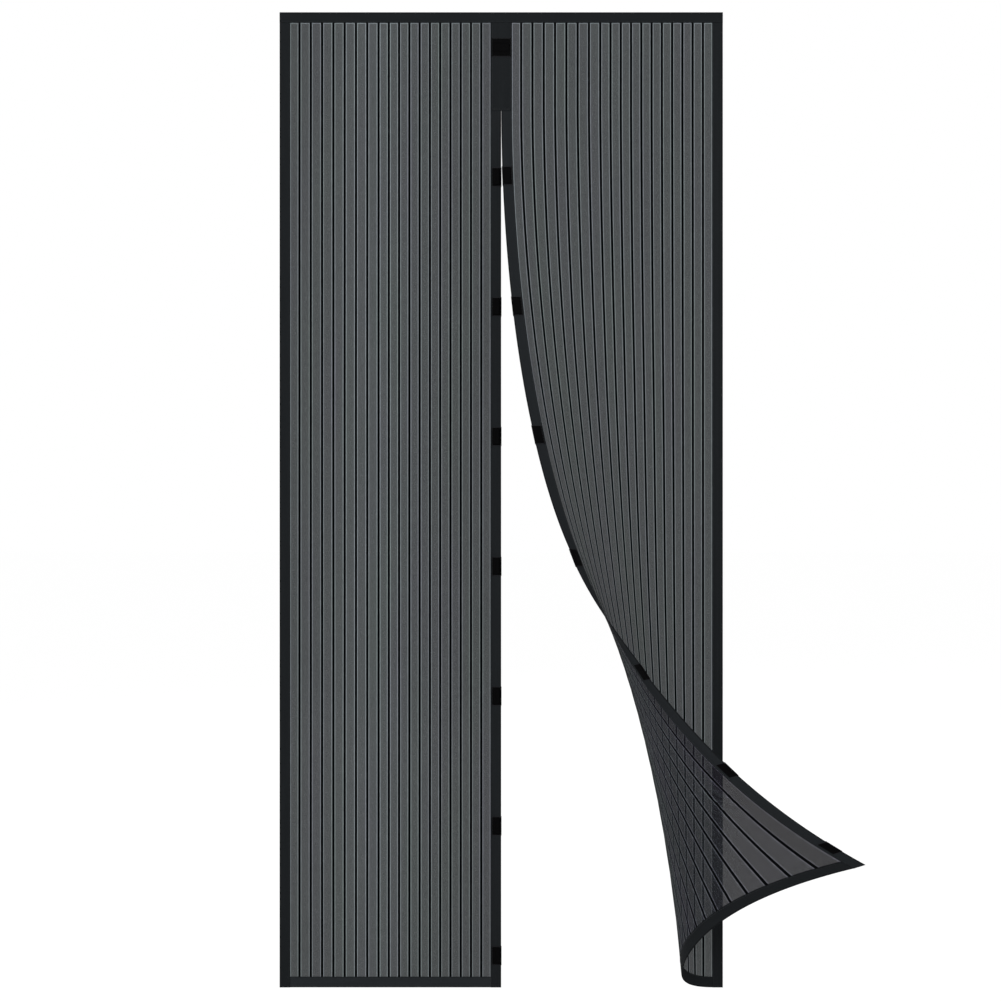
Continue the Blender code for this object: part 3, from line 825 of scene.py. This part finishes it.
# The pouch's section from its front free edge round the fold to its back one: (reach, n as a share)
pouch_start = TAPE_WIDTH - POUCH_WIDTH
pouch_middle = TAPE_WIDTH - POUCH_WIDTH / 2
pouch_brim = TAPE_WIDTH + SEWN_GAP
pouch_section = [(reach, -1.0) for reach in np.linspace(pouch_start, pouch_brim - 0.001, 19)]
pouch_section += [(pouch_brim - 0.0002, -0.85), (pouch_brim, -0.5)]
pouch_section += [(pouch_brim, 0.5), (pouch_brim - 0.0002, 0.85)]
pouch_section += [(reach, 1.0) for reach in np.linspace(pouch_brim - 0.001, TAPE_WIDTH - POUCH_BACK_LEG, 6)]
pouch_section = np.array(pouch_section)
offset, reach = np.meshgrid(np.linspace(-0.5, 0.5, 33) * POUCH_LENGTH, pouch_section[:, 0], indexing="ij")
level = np.broadcast_to(pouch_section[:, 1], reach.shape)
over_magnet = hump(reach - pouch_middle, MAGNET_WIDTH / 2, MAGNET_SHOULDERS[0])
over_magnet *= hump(offset, MAGNET_LENGTH / 2 - MAGNET_END_INSET, MAGNET_SHOULDERS[1])
over_magnet = np.where(level < -0.9, over_magnet, 0.0)
bulge = over_magnet * MAGNET_STAND
wrap = np.where(np.abs(level) < 0.9, POUCH_THICK, 0.0) * np.sqrt(np.clip(1 - level**2, 0, 1))
marks = np.stack([offset, reach, level], axis=-1)


def wrap_pouch(name, put, number):
    """A pouch's cloth round the meeting edge, slack beside its magnet."""
    slack = POUCH_SLACK * np.sin(offset * 900 + number) * (1 - over_magnet) * (np.abs(level) > 0.9)
    outer = put(reach + wrap, offset, level * POUCH_OUTSIDE - bulge + slack)
    inner = put(reach, offset, level * POUCH_INSIDE - bulge)
    cover = shells(name, [(outer, inner, marks)], pouch_weave)
    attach(cover, "root")
    return cover


def sew_pouch(name, put):
    """The stitches across a pouch's ends and along its front free edge."""
    seam = POUCH_LENGTH / 2 - POUCH_SEAM
    face = -(POUCH_OUTSIDE + STITCH_OVER)
    rows = []
    for end in (-seam, seam):

        def across_end(s, across, up, end=end):
            return put(s, end + across, face - up)

        rows.append((pouch_start + POUCH_SEAM_END, TAPE_WIDTH - POUCH_SEAM_END, across_end))
    rows.append((-seam, seam, lambda s, across, up: put(pouch_start + POUCH_SEAM + across, s, face - up)))
    sew(name, rows)


for side, hang in (("left", hang_left), ("right", hang_right)):
    for number, drop in enumerate(pouch_drops, start=1):
        put = along_magnet(hang, drop)
        cover = wrap_pouch(f"{side}_pouch_cover_{number}", put, number)
        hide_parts(f"{side}_pouch_{number}")
        sew_pouch(f"{side}_pouch_stitches_{number}", put)

# Top pouch. A wider patch of the same black tape in the middle of the join strip, sewn down on all four
# sides over one more magnet, which holds the head of the slit shut.
TOP_POUCH_DROP = 0.080
TOP_POUCH_WIDTH = 0.045
TOP_POUCH_LENGTH = 0.043
TOP_POUCH_SEAM = 0.0018
TOP_MAGNET_WIDTH = 0.036
TOP_SHOULDERS = (0.003, 0.006)
pocket_floor = join_front - SEWN_GAP
across, down = np.linspace(-0.5, 0.5, 41) * TOP_POUCH_WIDTH, np.linspace(-0.5, 0.5, 37) * TOP_POUCH_LENGTH
u, v = np.meshgrid(across, down)
bulge = hump(u, TOP_MAGNET_WIDTH / 2 - MAGNET_END_INSET, TOP_SHOULDERS[0]) * MAGNET_STAND
bulge *= hump(v, MAGNET_WIDTH / 2, TOP_SHOULDERS[1])
marks = np.stack([v * POUCH_LENGTH / TOP_POUCH_LENGTH, u, 0 * u], axis=-1)
outer = hang_left(middle + u, TOP_POUCH_DROP + v, pocket_floor - POUCH_THICK - bulge)
inner = hang_left(middle + u, TOP_POUCH_DROP + v, pocket_floor - bulge)
top_cover = shells("top_pouch_cover", [(outer, inner, marks)], pouch_weave)
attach(top_cover, "root")
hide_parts("top_pouch")
face = pocket_floor - POUCH_THICK - STITCH_OVER
half_wide = TOP_POUCH_WIDTH / 2 - TOP_POUCH_SEAM
half_long = TOP_POUCH_LENGTH / 2 - TOP_POUCH_SEAM
top_rows = []
for sign in (-1, 1):
    top_rows.append(stitch_across(-half_wide, half_wide, face, middle, TOP_POUCH_DROP + sign * half_long))
    top_rows.append(stitch_down(-half_long, half_long, face, middle + sign * half_wide, TOP_POUCH_DROP))
sew("top_pouch_stitches", top_rows)

# Magnets. Plain sintered bars inside the pouches, with a grey skin whose gloss and shade vary in specks.
# They keep the solids of the frame, which have the bars' real size and broken edges.
MAGNET_COLOUR = (0.30, 0.30, 0.32)
magnet_skin, tree, shader = bare("magnet_skin", metal=0.9)
where = tree.nodes.new("ShaderNodeTexCoord").outputs["Object"]
speck = node(tree, "TexNoise", where, None, 700.0, 4.0)
tint(tree, shader, MAGNET_COLOUR, vary(tree, speck, 0.6, 0.9))
roughen(tree, shader, speck, 0.25, 0.60)
emboss(tree, shader, speck, 0.00005)
for name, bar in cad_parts.items():
    if "magnet" in name:
        for slot in bar.material_slots:
            slot.material = magnet_skin

# Hook strips. Black nylon hook tape, 16 mm wide, sewn to the back of the top and side tapes. It has a
# smooth selvedge on each side and rows of small hooks between, which grip loop tape on the door frame.
HOOK_COLOUR = (0.0062, 0.0064, 0.0068)
HOOK_WIDTH = 0.016
HOOK_BASE_THICK = 0.0006
HOOK_END_MARGIN = 0.004
HOOK_FOOT_MARGIN = 0.060
HOOK_SEAM = 0.0008
HOOK_SEAM_END = 0.002
SELVEDGE = 0.0014
HOOK_PITCH = 0.0015
HOOK_SIZE = (0.1, 1.2)
PILE_EDGE = (HOOK_WIDTH / 2 - SELVEDGE, HOOK_WIDTH / 2 - SELVEDGE - 0.0004)
hook_pile, tree, shader, place, (along, across, _) = fibre("hook_pile", 0.5, 0.3)
hook_rows = wave(tree, "COSINE", along, HOOK_PITCH)
hook_lines = wave(tree, "COSINE", across, HOOK_PITCH)
piled = ramp(tree, calc(tree, "ABSOLUTE", across), *PILE_EDGE)
hooks = times(tree, ramp(tree, calc(tree, "ADD", hook_rows, hook_lines), *HOOK_SIZE), piled)
fuzz = grain(tree, place, 500.0, 3.0)
tint(tree, shader, HOOK_COLOUR, add_times(tree, hooks, 1.5, vary(tree, fuzz, 0.8, 0.8)))
roughen(tree, shader, hooks, 0.60, 0.45)
emboss(tree, shader, add_times(tree, fuzz, 0.2, hooks), 0.0005)

# Half of the strip's section, from one rim to the top of the pile: (across, n)
hook_front = TAPE_OUTSIDE + SEWN_GAP
hook_back = hook_front + HOOK_THICK
hook_base = hook_front + HOOK_BASE_THICK
hook_rim = -0.5 * HOOK_WIDTH
pile_start = hook_rim + SELVEDGE
hook_half = [(hook_rim, hook_base - 0.0001), (hook_rim + 0.0003, hook_base), (pile_start, hook_base)]
hook_half += [(pile_start + 0.0003, hook_back - 0.0001), (pile_start + 0.0008, hook_back)]
hook_half = np.array(hook_half)
hook_section = np.concatenate([hook_half, [(0.0, hook_back)], hook_half[::-1] * (-1, 1)])


def sew_hook(name, start, end, put):
    """A hook strip and its two rows of stitches. put(along, across, n) places its points."""
    stations = np.linspace(start, end, max(2, round((end - start) / 0.02)))
    along, across = np.meshgrid(stations, hook_section[:, 0], indexing="ij")
    marks = np.stack([along, across, 0 * along], axis=-1)
    back = put(along, across, np.broadcast_to(hook_section[:, 1], along.shape))
    front = put(along, across, np.full(along.shape, hook_front))
    strip = shells(name + "_tape", [(front, back, marks)], hook_pile)
    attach(strip, "root")
    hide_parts(name)
    rows = []
    for line in (HOOK_SEAM - HOOK_WIDTH / 2, HOOK_WIDTH / 2 - HOOK_SEAM):

        def on_back(s, w, up, line=line):
            return put(s, line + w, hook_base + STITCH_OVER + up)

        rows.append((start + HOOK_SEAM_END, end - HOOK_SEAM_END, on_back))
    sew(name + "_stitches", rows)


top_span = HOOK_END_MARGIN, SCREEN_WIDTH - HOOK_END_MARGIN
side_span = TAPE_WIDTH + HOOK_END_MARGIN, SCREEN_DROP - HOOK_FOOT_MARGIN
half_tape = TAPE_WIDTH / 2
sew_hook("top_hook_strip", *top_span, lambda s, w, n: hang_left(s, half_tape + w, n))
sew_hook("left_hook_strip", *side_span, lambda s, w, n: hang_left(half_tape + w, s, n))
sew_hook("right_hook_strip", *side_span, lambda s, w, n: hang_left(SCREEN_WIDTH - half_tape + w, s, n))

# The room. A pale floor just under the hems and an even white all round, both painted down to a dim grey
# where they are seen through the net, a large soft lamp from the left in front and a weaker one behind, and
# a camera square to the door.
FLOOR_DROP = 0.012
FLOOR_REACH = 30
# The share of white left where the floor and the white all round are seen through the net, a painted
# darkening
SEEN_THROUGH_NET = 0.138
FLOOR_SHADE = 0.14
FLOOR_GLOW = 1.08
FLOOR_COLOUR = (0.86, 0.86, 0.86)
AMBIENT = 0.55
WHITE = (1, 1, 1, 1)


def seen_white(tree):
    """Whether a ray comes from the eye, and 1 for its white, or less where it came through the net."""
    path = tree.nodes.new("ShaderNodeLightPath")
    through = calc(tree, "GREATER_THAN", path.outputs["Transparent Depth"], 0.5)
    direct = calc(tree, "MAXIMUM", path.outputs["Is Camera Ray"], path.outputs["Is Glossy Ray"])
    direct = calc(tree, "MAXIMUM", direct, path.outputs["Is Transmission Ray"])
    return direct, add_times(tree, times(tree, direct, through), SEEN_THROUGH_NET - 1.0)


world = bpy.data.worlds.new("white_studio")
world.use_nodes = True
bpy.context.scene.world = world
tree = world.node_tree
direct, level = seen_white(tree)
background = tree.nodes["Background"]
background.inputs["Color"].default_value = WHITE
strength = add_times(tree, direct, calc(tree, "SUBTRACT", level, AMBIENT), AMBIENT)
tree.links.new(strength, background.inputs["Strength"])

floor_paint = bpy.data.materials.new("floor_paint")
floor_paint.use_nodes = True
tree = floor_paint.node_tree
tree.nodes.remove(tree.nodes["Principled BSDF"])
direct, level = seen_white(tree)
speckle = node(tree, "TexNoise", None, None, 40.0, 3.0)
mottled = times(tree, level, vary(tree, speckle, 0.03))
pale = node(tree, "VectorMath", FLOOR_COLOUR, None, None, mottled, operation="SCALE")
matt = node(tree, "BsdfDiffuse", pale)
bright = node(tree, "Emission", WHITE, times(tree, level, FLOOR_GLOW))
mixed = node(tree, "MixShader", times(tree, direct, 1 - FLOOR_SHADE), matt, bright)
tree.links.new(mixed, tree.nodes["Material Output"].inputs["Surface"])
mesh = bpy.data.meshes.new("floor")
low = cad_low[2] - FLOOR_DROP
corners = [(x * FLOOR_REACH, y * FLOOR_REACH, low) for x, y in ((-1, -1), (1, -1), (1, 1), (-1, 1))]
mesh.from_pydata(corners, [], [(0, 1, 2, 3)])
mesh.materials.append(floor_paint)
floor = bpy.data.objects.new("floor", mesh)
bpy.context.scene.collection.objects.link(floor)


def soft_lamp(name, place, aim, size, power):
    """A round lamp of a size in metres, turned to its aim."""
    lamp = bpy.data.lights.new(name, "AREA")
    lamp.shape = "DISK"
    lamp.size = size
    lamp.energy = power
    stand = bpy.data.objects.new(name, lamp)
    stand.location = place
    stand.rotation_euler = (Vector(aim) - Vector(place)).to_track_quat("-Z", "Y").to_euler()
    bpy.context.scene.collection.objects.link(stand)


soft_lamp("key_lamp", (-0.8, -5.0, 0.9), (0.1, 0.0, -1.1), 3.2, 225)
soft_lamp("back_lamp", (-2.6, 4.0, 0.4), (0.0, 0.0, -1.1), 3.0, 130)

EYE_DISTANCE = 3.5
VIEW_WIDTH = 2.2585
VIEW_MIDDLE = (-0.0016, 1.1016)
FILM_WIDTH = 36.0
eye = bpy.data.cameras.new("eye")
eye.sensor_width = FILM_WIDTH
eye.lens = FILM_WIDTH * EYE_DISTANCE / VIEW_WIDTH
eye.clip_end = 100.0
camera = bpy.data.objects.new("eye", eye)
camera.location = (VIEW_MIDDLE[0], CLOTH_Y - EYE_DISTANCE, TOP_Z - VIEW_MIDDLE[1])
camera.rotation_euler = (math.pi / 2, 0.0, 0.0)
bpy.context.scene.collection.objects.link(camera)
bpy.context.scene.camera = camera
bpy.context.scene.view_settings.view_transform = "Standard"
